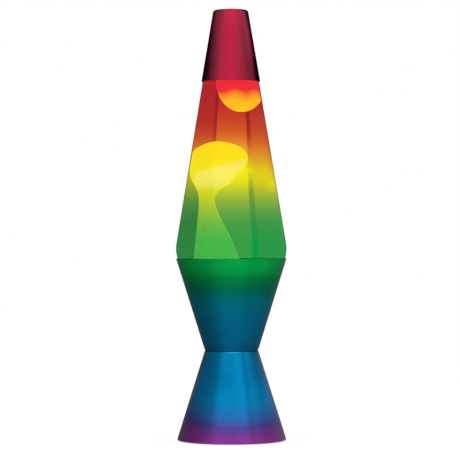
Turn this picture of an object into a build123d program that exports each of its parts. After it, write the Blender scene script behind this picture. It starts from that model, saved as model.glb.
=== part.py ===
from build123d import *
import os
from math import acos, atan, cos, degrees, sin

os.makedirs("parts", exist_ok=True)

# A liquid motion lamp: two spun metal cones joined at the waist, a sealed glass globe of
# liquid and wax that stands in the upper cone, a bulb under it and a metal cap over its neck.
# Millimetres. Z is the lamp's axis and Z = 0 is the surface that it stands on.

# Lower cone and what closes it underneath
spun_wall = 0.9
foot_thickness = 1.7
foot_radius = 6.0
foot_inset = 3.7
foot_count = 4
base_top_radius = 22.85
base_height = 76.6
base_top_corner = 3.0
hem_width = 4.0
hem_corner = 1.0
plate_thickness = 2.0
plate_corner = 0.8
vent_count = 12
vent_length = 11.0
vent_width = 2.6
vent_inset = 1.5

# Upper cone, which stands out a little past the lower one at its wide end and back at the waist
cup_rim_radius = 47.2
cup_height = 78.5
cup_bottom_corner = 4.0
waist_step = -0.1
rim_step = 0.35

# Glass globe
globe_wall = 2.8
globe_base_thickness = 4.2
globe_heel_radius = 6.0
globe_punt_depth = 2.0
globe_punt_radius = 22.0
globe_belly_rise = 6.5
globe_belly_radius = 28.0
globe_taper_length = 144.8
globe_top_radius = 24.05
shoulder_rise = 20.5
shoulder_drop = 5.0
shoulder_radius = 7.0
neck_inset = 11.5
neck_length = 15.0
neck_root_radius = 4.0
lip_stand = 0.8
lip_height = 3.4
lip_corner = 0.8

# Cap over the neck
cap_wall = 0.8
cap_height = 61.1
cap_narrowing = 0.25
cap_top_corner = 2.6

# Crimped closure on the neck
closure_wall = 0.5
closure_shoulder = 1.2
closure_flare = 1.9
closure_skirt_height = 5.6
closure_flutes = 21
flute_radius = 0.8
flute_stand = 0.25
liner_thickness = 0.8

# Liquid and wax: each section of the wax's column and dome has its height above the rim,
# the room that it leaves to the glass on its left, and its width
liquid_drop = 20.0
wax_pool_depth = 11.0
wax_foot_width = 52.0
wax_foot_offset = -4.0
wax_sections = [
    (0.0, 10.8, 39.0),
    (29.5, 12.2, 22.7),
    (50.0, 10.4, 13.7),
    (62.5, 4.9, 24.6),
    (77.0, 0.9, 42.1),
    (86.0, 0.8, 45.2),
    (95.0, 3.9, 33.4),
    (100.5, 12.0, 11.0),
]
wax_steps = 18
blob_radius = 22.0
blob_offset = 9.0
blob_drop = 4.6
coil_ring_radius = 27.0
coil_radius = 3.2

# Bulb, a small round type with an intermediate screw base
bulb_length = 59.0
bulb_radius = 17.5
bulb_glass_wall = 0.7
bulb_neck_radius = 7.4
bulb_flare_radius = 9.0
screw_base_radius = 8.3
screw_base_height = 16.5
screw_base_wall = 0.4
screw_base_corner = 1.2
screw_base_overlap = 3.0
insulator_height = 3.6
insulator_small_radius = 4.4
tip_radius = 3.2
tip_height = 1.2
stem_height = 14.0
stem_top_radius = 2.4
lead_wire_radius = 0.4
lead_wire_foot = 1.2
lead_wire_rise = 13.0
lead_wire_spread = 7.0
filament_radius = 0.5
filament_rise = 3.0

# Lampholder
holder_radius = 12.0
holder_top_rise = 6.0
holder_depth = 20.0
holder_flange_radius = 16.5
holder_flange_thickness = 3.0
holder_floor_thickness = 3.6
spigot_wall = 0.9
spigot_height = 2.0
sleeve_wall = 0.5
sleeve_margin = 1.5
contact_width = 5.0
contact_thickness = 0.4
contact_rise = 1.9
contact_reach = 2.2
rivet_offset = 5.5
rivet_radius = 1.2
rivet_head_radius = 2.0
rivet_head_height = 0.6
terminal_width = 6.0
terminal_thickness = 0.8
terminal_reach = 8.6
terminal_drop = 8.0
screw_head_radius = 2.3
screw_head_height = 1.2
screw_shank_radius = 1.4
screw_shank_length = 4.0
screw_slot_width = 0.7
screw_slot_depth = 0.7
cover_depth = 13.0
cover_wall = 1.5
cover_entry_radius = 3.6
washer_thickness = 1.0
washer_radius = 18.0
nut_radius = 16.5
nut_thickness = 4.4
nut_notches = 6
notch_width = 3.0
notch_depth = 1.8

# Bush for the supply cord, in the back of the lower cone
bush_height = 14.0
bush_bore_radius = 3.5
bush_waist_radius = 5.4
bush_flange_radius = 7.4
bush_flange_thickness = 1.6
bush_corner = 0.6

# Clearances
seat_clearance = 0.3
snug_clearance = 0.15
wax_clearance = 0.3
turning_clearance = 0.3
liquid_clearance = 0.1
bulb_headroom = 3.0

# Radii and heights that follow from the sizes above
cup_bottom_radius = base_top_radius + waist_step
base_bottom_radius = cup_rim_radius - rim_step
foot_circle_radius = base_bottom_radius - hem_width - foot_inset - foot_radius
vent_circle_radius = foot_circle_radius - foot_radius - vent_inset - vent_length / 2
neck_radius = globe_top_radius - neck_inset
lip_radius = neck_radius + lip_stand
hem_level = foot_thickness - spun_wall
waist_level = hem_level + base_height
rim_level = waist_level + cup_height
belly_level = rim_level + globe_belly_rise
cap_edge_level = belly_level + globe_taper_length
shoulder_level = cap_edge_level + shoulder_rise
neck_root_level = shoulder_level + shoulder_drop
lip_level = neck_root_level + neck_length
cap_top_level = cap_edge_level + cap_height
holder_floor_level = waist_level - spun_wall - holder_depth
tip_level = holder_floor_level + contact_rise + contact_thickness
bulb_top_level = tip_level + bulb_length
globe_bottom_level = bulb_top_level + bulb_headroom


def cone_radius(level, low_level, low_radius, high_level, high_radius):
    """Radius at a height on a straight-sided cone."""
    share = (level - low_level) / (high_level - low_level)
    return low_radius + (high_radius - low_radius) * share


def base_side(level):
    """Outer radius of the lower cone."""
    return cone_radius(level, hem_level, base_bottom_radius, waist_level, base_top_radius)


base_lean = atan((base_bottom_radius - base_top_radius) / base_height)
cup_lean = atan((cup_rim_radius - cup_bottom_radius) / cup_height)
base_wall_across = spun_wall / cos(base_lean)
cup_wall_across = (spun_wall + seat_clearance) / cos(cup_lean)


def globe_seat(level):
    """Outer radius of the globe where it nests in the upper cone."""
    outside = cone_radius(level, waist_level, cup_bottom_radius, rim_level, cup_rim_radius)
    return outside - cup_wall_across


belly_corner_radius = globe_seat(belly_level)


def globe_taper(level):
    """Outer radius of the globe above its belly."""
    return cone_radius(level, belly_level, belly_corner_radius, cap_edge_level, globe_top_radius)


def globe_room(level):
    """Radius of the room inside the globe below the cap."""
    outside = globe_seat(level) if level < belly_level else globe_taper(level)
    return outside - globe_wall / cos(cup_lean)


# The cap follows the glass's taper from its edge up, and narrows a little more than the glass
taper_lean = atan((belly_corner_radius - globe_top_radius) / globe_taper_length)
cap_across = (cap_wall + seat_clearance) / cos(taper_lean)
cap_edge_radius = globe_top_radius + cap_across
cap_top_radius = globe_taper(cap_top_level) + cap_across - cap_narrowing

# The outside of the globe from its axis up to the top of its neck, and its rounded corners
globe_points = [
    (0, globe_bottom_level),
    (globe_seat(globe_bottom_level), globe_bottom_level),
    (belly_corner_radius, belly_level),
    (globe_taper(shoulder_level), shoulder_level),
    (neck_radius, neck_root_level),
    (neck_radius, lip_level),
]
globe_corners = [globe_heel_radius, globe_belly_radius, shoulder_radius, neck_root_radius]


def globe_inside(clearance):
    """Half section of the room inside the globe, a clearance away from its wall."""
    with BuildSketch(Plane.XZ) as section:
        with BuildLine() as wall:
            FilletPolyline(*globe_points, radius=globe_corners)
            offset(amount=globe_wall + clearance, side=Side.LEFT, closed=False)
            ends = wall.vertices().sort_by(Axis.Y)
            Polyline((ends[-1].X, ends[-1].Y), (0, ends[-1].Y), (0, ends[0].Y))
        make_face()
    return section.sketch


# Lower cone, spun from one sheet, hemmed in at the foot and pierced for the lampholder
bush_level = foot_thickness + bush_height
bush_plane = Plane(
    origin=(0, base_side(bush_level) - base_wall_across / 2, bush_level),
    x_dir=(1, 0, 0),
    z_dir=(0, cos(base_lean), sin(base_lean)),
)
with BuildPart() as base_cone:
    with BuildSketch(Plane.XZ):
        with BuildLine():
            FilletPolyline(
                (base_bottom_radius - hem_width, hem_level),
                (base_bottom_radius, hem_level),
                (base_top_radius, waist_level),
                (holder_radius + snug_clearance, waist_level),
                radius=[hem_corner, base_top_corner],
            )
            offset(amount=spun_wall, side=Side.LEFT)
        make_face()
    revolve(axis=Axis.Z)
    with BuildSketch(bush_plane):
        Circle(bush_waist_radius + snug_clearance)
    extrude(amount=2 * bush_flange_thickness, both=True, mode=Mode.SUBTRACT)
base_cone.part.label = "base_cone"
export_step(base_cone.part, "parts/base_cone.step")

# Moulded cover in the foot of the lower cone, lying on the hem, with cooling slots
plate_radius = base_side(foot_thickness + plate_thickness) - base_wall_across - seat_clearance
with BuildPart() as bottom_plate:
    with BuildSketch(Plane.XY.offset(foot_thickness)):
        Circle(plate_radius)
        with PolarLocations(vent_circle_radius, vent_count):
            SlotOverall(vent_length, vent_width, mode=Mode.SUBTRACT)
    extrude(amount=plate_thickness)
    round_edges = bottom_plate.edges().filter_by(GeomType.CIRCLE)
    fillet(round_edges.filter_by(lambda edge: edge.radius > vent_circle_radius), plate_corner)
bottom_plate.part.label = "bottom_plate"
export_step(bottom_plate.part, "parts/bottom_plate.step")

# Stick-on feet under the cover
with BuildPart() as foot_pads:
    with BuildSketch(Plane.XY):
        with PolarLocations(foot_circle_radius, foot_count, start_angle=180 / foot_count):
            Circle(foot_radius)
    extrude(amount=foot_thickness)
    chamfer(foot_pads.faces().filter_by(Axis.Z).group_by(Axis.Z)[0].edges(), foot_thickness / 4)
foot_pads.part.label = "foot_pads"
export_step(foot_pads.part, "parts/foot_pads.step")

# Snap-in bush, notched to the curve of the cone's wall that it grips
bush_inside = base_wall_across / 2 + bush_flange_thickness
with BuildPart() as cord_grommet:
    with BuildSketch(bush_plane.offset(-bush_inside)):
        Circle(bush_flange_radius)
    extrude(amount=2 * bush_inside)
    with BuildSketch(Plane.XZ):
        with BuildLine():
            Polyline(
                (base_side(0) + snug_clearance, 0),
                (base_side(waist_level) + snug_clearance, waist_level),
                (base_side(waist_level) - base_wall_across - snug_clearance, waist_level),
                (base_side(0) - base_wall_across - snug_clearance, 0),
                close=True,
            )
        make_face()
    revolve(axis=Axis.Z, mode=Mode.SUBTRACT)
    with BuildSketch(bush_plane.offset(-bush_inside)):
        Circle(bush_waist_radius)
    extrude(amount=2 * bush_inside)
    ends = cord_grommet.faces().filter_by(GeomType.PLANE)
    fillet(ends.edges().filter_by(GeomType.CIRCLE), bush_corner)
    with BuildSketch(bush_plane.offset(-bush_inside)):
        Circle(bush_bore_radius)
    extrude(amount=2 * bush_inside, mode=Mode.SUBTRACT)
cord_grommet.part.label = "cord_grommet"
export_step(cord_grommet.part, "parts/cord_grommet.step")

# Upper cone, which is the globe's seat
with BuildPart() as cup_cone:
    with BuildSketch(Plane.XZ):
        with BuildLine():
            FilletPolyline(
                (holder_radius + snug_clearance, waist_level),
                (cup_bottom_radius, waist_level),
                (cup_rim_radius, rim_level),
                radius=cup_bottom_corner,
            )
            offset(amount=spun_wall, side=Side.LEFT)
        make_face()
    revolve(axis=Axis.Z)
cup_cone.part.label = "cup_cone"
export_step(cup_cone.part, "parts/cup_cone.step")

# Lampholder body: a skirt threaded on the outside, with a flange under the lower cone's top
flange_top_level = waist_level - spun_wall
holder_top_level = waist_level + spun_wall + holder_top_rise
holder_bottom_level = holder_floor_level - holder_floor_thickness
sleeve_radius = screw_base_radius + turning_clearance + sleeve_wall
cover_inside_radius = holder_radius - cover_wall
with BuildPart() as lampholder_body:
    with BuildSketch(Plane.XY.offset(holder_bottom_level)):
        Circle(holder_radius)
    extrude(amount=holder_top_level - holder_bottom_level)
    with BuildSketch(Plane.XY.offset(flange_top_level)):
        Circle(holder_flange_radius)
    extrude(amount=-holder_flange_thickness)
    with BuildSketch(Plane.XY.offset(holder_bottom_level)):
        Circle(cover_inside_radius - snug_clearance)
        Circle(cover_inside_radius - snug_clearance - spigot_wall, mode=Mode.SUBTRACT)
    extrude(amount=-spigot_height)
    with BuildSketch(Plane.XY.offset(holder_floor_level)):
        Circle(sleeve_radius + snug_clearance)
    extrude(amount=holder_top_level - holder_floor_level, mode=Mode.SUBTRACT)
    with BuildSketch(Plane.XY.offset(holder_floor_level)):
        with Locations((-rivet_offset, 0), (rivet_offset, 0)):
            Circle(rivet_radius + snug_clearance)
    extrude(amount=-holder_floor_thickness, mode=Mode.SUBTRACT)
lampholder_body.part.label = "lampholder_body"
export_step(lampholder_body.part, "parts/lampholder_body.step")

# Screw sleeve inside the body, with a foot turned in over the floor for its rivet
with BuildPart() as lampholder_sleeve:
    with BuildSketch(Plane.XY.offset(holder_floor_level)):
        Circle(sleeve_radius)
        Circle(sleeve_radius - sleeve_wall, mode=Mode.SUBTRACT)
    extrude(amount=holder_top_level - sleeve_margin - holder_floor_level)
    with BuildSketch(Plane.XY.offset(holder_floor_level)):
        with Locations((rivet_offset - rivet_head_radius, 0)):
            Rectangle(sleeve_radius, contact_width, align=(Align.MIN, Align.CENTER))
        Circle(sleeve_radius, mode=Mode.INTERSECT)
        with Locations((rivet_offset, 0)):
            Circle(rivet_radius + snug_clearance, mode=Mode.SUBTRACT)
    extrude(amount=sleeve_wall)
lampholder_sleeve.part.label = "lampholder_sleeve"
export_step(lampholder_sleeve.part, "parts/lampholder_sleeve.step")

# Springy centre contact: one end riveted to the floor, the other arched up under the bulb's tip
contact_start = -rivet_offset - rivet_head_radius
with BuildPart() as lampholder_contact:
    with BuildSketch(Plane.XZ):
        with BuildLine():
            FilletPolyline(
                (contact_start, holder_floor_level),
                (2 * contact_thickness - rivet_offset + rivet_head_radius, holder_floor_level),
                (-contact_reach, tip_level - contact_thickness - turning_clearance),
                (contact_reach, tip_level - contact_thickness - turning_clearance),
                radius=contact_thickness,
            )
            offset(amount=contact_thickness, side=Side.LEFT)
        make_face()
    extrude(amount=contact_width / 2, both=True)
    with BuildSketch(Plane.XY.offset(holder_floor_level)):
        with Locations((-rivet_offset, 0)):
            Circle(rivet_radius + snug_clearance)
    extrude(amount=contact_thickness, mode=Mode.SUBTRACT)
lampholder_contact.part.label = "lampholder_contact"
export_step(lampholder_contact.part, "parts/lampholder_contact.step")

# Terminal plates under the floor, each with a leg turned down for its screw
terminal_level = holder_bottom_level - terminal_thickness
screw_level = holder_bottom_level - terminal_drop + terminal_width / 2
with BuildPart() as terminal_plates:
    for side in (-1, 1):
        with BuildSketch(Plane.XZ):
            with BuildLine():
                Polyline(
                    (side * (rivet_offset - terminal_width / 2), holder_bottom_level),
                    (side * terminal_reach, holder_bottom_level),
                    (side * terminal_reach, holder_bottom_level - terminal_drop),
                )
                offset(amount=terminal_thickness, side=Side.LEFT if side < 0 else Side.RIGHT)
            make_face()
        extrude(amount=terminal_width / 2, both=True)
    with BuildSketch(Plane.XY.offset(holder_bottom_level)):
        with Locations((-rivet_offset, 0), (rivet_offset, 0)):
            Circle(rivet_radius + snug_clearance)
    extrude(amount=-terminal_thickness, mode=Mode.SUBTRACT)
    with BuildSketch(Plane.YZ):
        with Locations((0, screw_level)):
            Circle(screw_shank_radius + snug_clearance)
    extrude(amount=terminal_reach, both=True, mode=Mode.SUBTRACT)
terminal_plates.part.label = "terminal_plates"
export_step(terminal_plates.part, "parts/terminal_plates.step")

# Rivets that clamp the contact, the sleeve's foot and the plates to the floor
with BuildPart() as lampholder_rivets:
    for side, top_thickness in ((-1, contact_thickness), (1, sleeve_wall)):
        head_level = holder_floor_level + top_thickness
        with BuildSketch(Plane.XY.offset(terminal_level)):
            with Locations((side * rivet_offset, 0)):
                Circle(rivet_radius)
        extrude(amount=head_level - terminal_level)
        with BuildSketch(Plane.XY.offset(head_level)):
            with Locations((side * rivet_offset, 0)):
                Circle(rivet_head_radius)
        extrude(amount=rivet_head_height, taper=30)
        with BuildSketch(Plane.XY.offset(terminal_level)):
            with Locations((side * rivet_offset, 0)):
                Circle(rivet_head_radius)
        extrude(amount=-rivet_head_height, taper=30)
lampholder_rivets.part.label = "lampholder_rivets"
export_step(lampholder_rivets.part, "parts/lampholder_rivets.step")

# Slotted terminal screws, driven from outside the plates' legs
with BuildPart() as terminal_screws:
    for side in (-1, 1):
        seat = Plane(origin=(side * terminal_reach, 0, screw_level), x_dir=(0, 1, 0), z_dir=(side, 0, 0))
        with BuildSketch(seat):
            Circle(screw_shank_radius)
        extrude(amount=-screw_shank_length)
        with BuildSketch(seat):
            Circle(screw_head_radius)
        extrude(amount=screw_head_height)
        with BuildSketch(seat.offset(screw_head_height)):
            Rectangle(2 * screw_head_radius, screw_slot_width)
        extrude(amount=-screw_slot_depth, mode=Mode.SUBTRACT)
terminal_screws.part.label = "terminal_screws"
export_step(terminal_screws.part, "parts/terminal_screws.step")

# Cover over the terminals, pushed onto the body's spigot
with BuildPart() as lampholder_cover:
    with BuildSketch(Plane.XY.offset(holder_bottom_level)):
        Circle(holder_radius)
    extrude(amount=-cover_depth)
    chamfer(lampholder_cover.faces().sort_by(Axis.Z)[0].edges(), cover_wall / 2)
    with BuildSketch(Plane.XY.offset(holder_bottom_level)):
        Circle(cover_inside_radius)
    extrude(amount=cover_wall - cover_depth, mode=Mode.SUBTRACT)
    with BuildSketch(Plane.XY.offset(holder_bottom_level)):
        Circle(cover_entry_radius)
    extrude(amount=-cover_depth, mode=Mode.SUBTRACT)
lampholder_cover.part.label = "lampholder_cover"
export_step(lampholder_cover.part, "parts/lampholder_cover.step")

# Washer and notched nut that clamp both cones against the lampholder's flange
washer_level = waist_level + spun_wall
with BuildPart() as clamp_washer:
    with BuildSketch(Plane.XY.offset(washer_level)):
        Circle(washer_radius)
        Circle(holder_radius + snug_clearance, mode=Mode.SUBTRACT)
    extrude(amount=washer_thickness)
clamp_washer.part.label = "clamp_washer"
export_step(clamp_washer.part, "parts/clamp_washer.step")

with BuildPart() as ring_nut:
    with BuildSketch(Plane.XY.offset(washer_level + washer_thickness)):
        Circle(nut_radius)
        Circle(holder_radius + snug_clearance, mode=Mode.SUBTRACT)
        with PolarLocations(nut_radius, nut_notches):
            Rectangle(2 * notch_depth, notch_width, mode=Mode.SUBTRACT)
    extrude(amount=nut_thickness)
ring_nut.part.label = "ring_nut"
export_step(ring_nut.part, "parts/ring_nut.step")

# Bulb: the glass swells from a straight neck into a ball
bulb_centre_level = bulb_top_level - bulb_radius
shell_bottom_level = tip_level + tip_height + insulator_height
shell_top_level = shell_bottom_level + screw_base_height
neck_start_level = shell_top_level - screw_base_overlap
flare_centre_radius = bulb_neck_radius + bulb_flare_radius
flare_angle = acos(flare_centre_radius / (bulb_radius + bulb_flare_radius))
flare_centre_level = bulb_centre_level - (bulb_radius + bulb_flare_radius) * sin(flare_angle)
with BuildPart() as bulb_envelope:
    with BuildSketch(Plane.XZ):
        with BuildLine():
            Line((bulb_neck_radius, neck_start_level), (bulb_neck_radius, flare_centre_level))
            CenterArc((flare_centre_radius, flare_centre_level), bulb_flare_radius, 180, -degrees(flare_angle))
            CenterArc((0, bulb_centre_level), bulb_radius, -degrees(flare_angle), 90 + degrees(flare_angle))
            offset(amount=bulb_glass_wall, side=Side.LEFT)
        make_face()
    revolve(axis=Axis.Z)
bulb_envelope.part.label = "bulb_envelope"
export_step(bulb_envelope.part, "parts/bulb_envelope.step")

with BuildPart() as bulb_screw_base:
    with BuildSketch(Plane.XZ):
        with BuildLine():
            FilletPolyline(
                (screw_base_radius - 2 * screw_base_corner, shell_bottom_level),
                (screw_base_radius, shell_bottom_level),
                (screw_base_radius, shell_top_level),
                radius=screw_base_corner,
            )
            offset(amount=screw_base_wall, side=Side.LEFT)
        make_face()
    revolve(axis=Axis.Z)
bulb_screw_base.part.label = "bulb_screw_base"
export_step(bulb_screw_base.part, "parts/bulb_screw_base.step")

with BuildPart() as bulb_insulator:
    with BuildSketch(Plane.XZ):
        with BuildLine():
            Polyline(
                (0, tip_level + tip_height),
                (insulator_small_radius, tip_level + tip_height),
                (screw_base_radius - screw_base_corner, shell_bottom_level),
                (0, shell_bottom_level),
                close=True,
            )
        make_face()
    revolve(axis=Axis.Z)
bulb_insulator.part.label = "bulb_insulator"
export_step(bulb_insulator.part, "parts/bulb_insulator.step")

with BuildPart() as bulb_tip_contact:
    with BuildSketch(Plane.XY.offset(tip_level)):
        Circle(tip_radius)
    extrude(amount=tip_height)
    fillet(bulb_tip_contact.faces().sort_by(Axis.Z)[0].edges(), tip_height / 2)
bulb_tip_contact.part.label = "bulb_tip_contact"
export_step(bulb_tip_contact.part, "parts/bulb_tip_contact.step")

# Glass stem, lead wires and filament inside the bulb
stem_top_level = neck_start_level + stem_height
stem_foot_radius = bulb_neck_radius - bulb_glass_wall - snug_clearance
with BuildPart() as bulb_stem:
    with BuildSketch(Plane.XY.offset(neck_start_level)):
        Circle(stem_foot_radius)
    with BuildSketch(Plane.XY.offset(neck_start_level + stem_height / 2)):
        Circle(stem_top_radius + snug_clearance)
    with BuildSketch(Plane.XY.offset(stem_top_level)):
        Circle(stem_top_radius)
    loft()
bulb_stem.part.label = "bulb_stem"
export_step(bulb_stem.part, "parts/bulb_stem.step")

with BuildPart() as bulb_lead_wires:
    for side in (-1, 1):
        with BuildSketch(Plane.XY.offset(stem_top_level)):
            with Locations((side * lead_wire_foot, 0)):
                Circle(lead_wire_radius)
        lean = Vector(side * (lead_wire_spread - lead_wire_foot), 0, lead_wire_rise)
        extrude(amount=lean.length, dir=lean)
bulb_lead_wires.part.label = "bulb_lead_wires"
export_step(bulb_lead_wires.part, "parts/bulb_lead_wires.step")

filament_level = stem_top_level + lead_wire_rise + filament_radius
with BuildPart() as bulb_filament:
    with BuildLine(Plane.XZ) as filament_line:
        ThreePointArc(
            (-lead_wire_spread, filament_level),
            (0, filament_level + filament_rise),
            (lead_wire_spread, filament_level),
        )
    with BuildSketch(Plane(origin=filament_line.line @ 0, z_dir=filament_line.line % 0)):
        Circle(filament_radius)
    sweep()
bulb_filament.part.label = "bulb_filament"
export_step(bulb_filament.part, "parts/bulb_filament.step")

# Globe: one blown wall, a thick base with a hollow under it, and a beaded neck
with BuildPart() as globe_glass:
    with BuildSketch(Plane.XZ):
        with BuildLine():
            FilletPolyline(*globe_points, radius=globe_corners)
            offset(amount=globe_wall, side=Side.LEFT)
        make_face()
    revolve(axis=Axis.Z)
    with BuildSketch(Plane.XZ):
        add(globe_inside(0))
        with Locations((0, globe_bottom_level)):
            Rectangle(cup_rim_radius, globe_base_thickness, align=(Align.MIN, Align.MIN), mode=Mode.INTERSECT)
    revolve(axis=Axis.Z)
    with BuildSketch(Plane.XZ):
        with Locations((0, lip_level - lip_height)):
            Rectangle(lip_radius, lip_height, align=(Align.MIN, Align.MIN))
            Rectangle(neck_radius - globe_wall, lip_height, align=(Align.MIN, Align.MIN), mode=Mode.SUBTRACT)
    revolve(axis=Axis.Z)
    fillet(globe_glass.faces().sort_by(Axis.Z)[-1].edges(), lip_corner)
    with BuildSketch(Plane.XZ):
        with BuildLine():
            ThreePointArc(
                (-globe_punt_radius, globe_bottom_level),
                (0, globe_bottom_level + globe_punt_depth),
                (globe_punt_radius, globe_bottom_level),
            )
            Line((-globe_punt_radius, globe_bottom_level), (globe_punt_radius, globe_bottom_level))
        make_face()
        split(bisect_by=Plane.YZ)
    revolve(axis=Axis.Z, mode=Mode.SUBTRACT)
globe_glass.part.label = "globe_glass"
export_step(globe_glass.part, "parts/globe_glass.step")

# Wax lying in the bottom of the globe and rising in a column that swells into a dome
pool_level = globe_bottom_level + globe_base_thickness + wax_pool_depth


def wax_size(rise):
    """Room to the glass and width of the wax at a height above the rim, eased between sections."""
    step = max(i for i in range(len(wax_sections) - 1) if wax_sections[i][0] <= rise)
    lower, upper = wax_sections[step], wax_sections[step + 1]
    before, after = wax_sections[max(step - 1, 0)], wax_sections[min(step + 2, len(wax_sections) - 1)]
    span = upper[0] - lower[0]
    t = (rise - lower[0]) / span
    sizes = []
    for i in (1, 2):
        slope_in = (upper[i] - before[i]) / (upper[0] - before[0]) * span
        slope_out = (after[i] - lower[i]) / (after[0] - lower[0]) * span
        ends = lower[i] * (2 * t**3 - 3 * t**2 + 1) + upper[i] * (3 * t**2 - 2 * t**3)
        sizes.append(ends + slope_in * (t**3 - 2 * t**2 + t) + slope_out * (t**3 - t**2))
    return sizes


def wax_column(growth):
    """Round sections up the column and the dome, each larger than the wax by a growth."""
    with BuildSketch(Plane.XY.offset(pool_level)) as foot:
        with Locations((wax_foot_offset, 0)):
            Circle(wax_foot_width / 2 + growth)
    sections = [foot.sketch]
    for step in range(wax_steps + 1):
        rise = wax_sections[-1][0] * step / wax_steps
        gap, width = wax_size(rise)
        with BuildSketch(Plane.XY.offset(rim_level + rise)) as section:
            with Locations((gap + width / 2 - globe_room(rim_level + rise), 0)):
                Circle(width / 2 + growth)
        sections.append(section.sketch)
    return sections


coil_level = globe_bottom_level + globe_base_thickness + snug_clearance + coil_radius
with BuildPart() as wax_lower:
    revolve(globe_inside(wax_clearance), axis=Axis.Z)
    split(bisect_by=Plane.XY.offset(pool_level), keep=Keep.BOTTOM)
    split(bisect_by=Plane.XY.offset(globe_bottom_level + globe_base_thickness + snug_clearance), keep=Keep.TOP)
    with BuildSketch(Plane.XZ):
        with Locations((coil_ring_radius, coil_level)):
            Circle(coil_radius + wax_clearance)
            Rectangle(2 * (coil_radius + wax_clearance), 2 * coil_radius, align=(Align.CENTER, Align.MAX))
    revolve(axis=Axis.Z, mode=Mode.SUBTRACT)
    loft(wax_column(0), ruled=True)
wax_lower.part.label = "wax_lower"
export_step(wax_lower.part, "parts/wax_lower.step")

with BuildPart() as coil_ring:
    with BuildSketch(Plane.XZ):
        with Locations((coil_ring_radius, coil_level)):
            Circle(coil_radius)
    revolve(axis=Axis.Z)
coil_ring.part.label = "coil_ring"
export_step(coil_ring.part, "parts/coil_ring.step")

# The blob that has risen to the top and leans on the glass
blob_level = cap_edge_level - blob_drop
with BuildPart() as wax_upper:
    with Locations((blob_offset, 0, blob_level)):
        Sphere(blob_radius)
    revolve(globe_inside(wax_clearance + liquid_clearance), axis=Axis.Z, mode=Mode.INTERSECT)
wax_upper.part.label = "wax_upper"
export_step(wax_upper.part, "parts/wax_upper.step")

# Liquid that fills the rest of the globe up to the air space in its neck
with BuildPart() as liquid:
    revolve(globe_inside(liquid_clearance), axis=Axis.Z)
    split(bisect_by=Plane.XY.offset(lip_level - liquid_drop), keep=Keep.BOTTOM)
    split(bisect_by=Plane.XY.offset(pool_level + wax_clearance), keep=Keep.TOP)
    loft(wax_column(wax_clearance), ruled=True, mode=Mode.SUBTRACT)
    with Locations((blob_offset, 0, blob_level)):
        Sphere(blob_radius + wax_clearance, mode=Mode.SUBTRACT)
liquid.part.label = "liquid"
export_step(liquid.part, "parts/liquid.step")

# Sealing disc and crimped metal closure
with BuildPart() as closure_liner:
    with BuildSketch(Plane.XY.offset(lip_level)):
        Circle(lip_radius)
    extrude(amount=liner_thickness)
closure_liner.part.label = "closure_liner"
export_step(closure_liner.part, "parts/closure_liner.step")

closure_top_level = lip_level + liner_thickness + closure_wall
closure_bottom_level = closure_top_level - closure_skirt_height
closure_shoulder_radius = lip_radius + seat_clearance + closure_wall
closure_skirt_radius = closure_shoulder_radius + closure_flare
with BuildPart() as bottle_closure:
    with BuildSketch(Plane.XZ):
        with BuildLine():
            FilletPolyline(
                (closure_skirt_radius, closure_bottom_level),
                (closure_shoulder_radius, closure_top_level),
                (0, closure_top_level),
                radius=closure_shoulder,
            )
            offset(amount=closure_wall, side=Side.LEFT)
        make_face()
    revolve(axis=Axis.Z)
    with BuildSketch(Plane.XY.offset(closure_bottom_level)):
        with PolarLocations(closure_skirt_radius + flute_stand - flute_radius, closure_flutes):
            Circle(flute_radius)
    extrude(amount=closure_skirt_height - 2 * closure_shoulder)
bottle_closure.part.label = "bottle_closure"
export_step(bottle_closure.part, "parts/bottle_closure.step")

# Cap, spun from one sheet
with BuildPart() as top_cap:
    with BuildSketch(Plane.XZ):
        with BuildLine():
            FilletPolyline(
                (cap_edge_radius, cap_edge_level),
                (cap_top_radius, cap_top_level),
                (0, cap_top_level),
                radius=cap_top_corner,
            )
            offset(amount=cap_wall, side=Side.LEFT)
        make_face()
    revolve(axis=Axis.Z)
top_cap.part.label = "top_cap"
export_step(top_cap.part, "parts/top_cap.step")
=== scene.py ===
"""A liquid motion lamp with a rainbow finish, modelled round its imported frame.

The lamp stands on the floor at Z = 0 with its axis on Z, and its front faces -Y. Sizes are
written in millimetres and kept in metres. Each operator makes one piece or one group of like
pieces, and gives it the finish that goes on it.
"""
from math import acos, atan, atan2, cos, pi, radians, sin, tan

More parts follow.
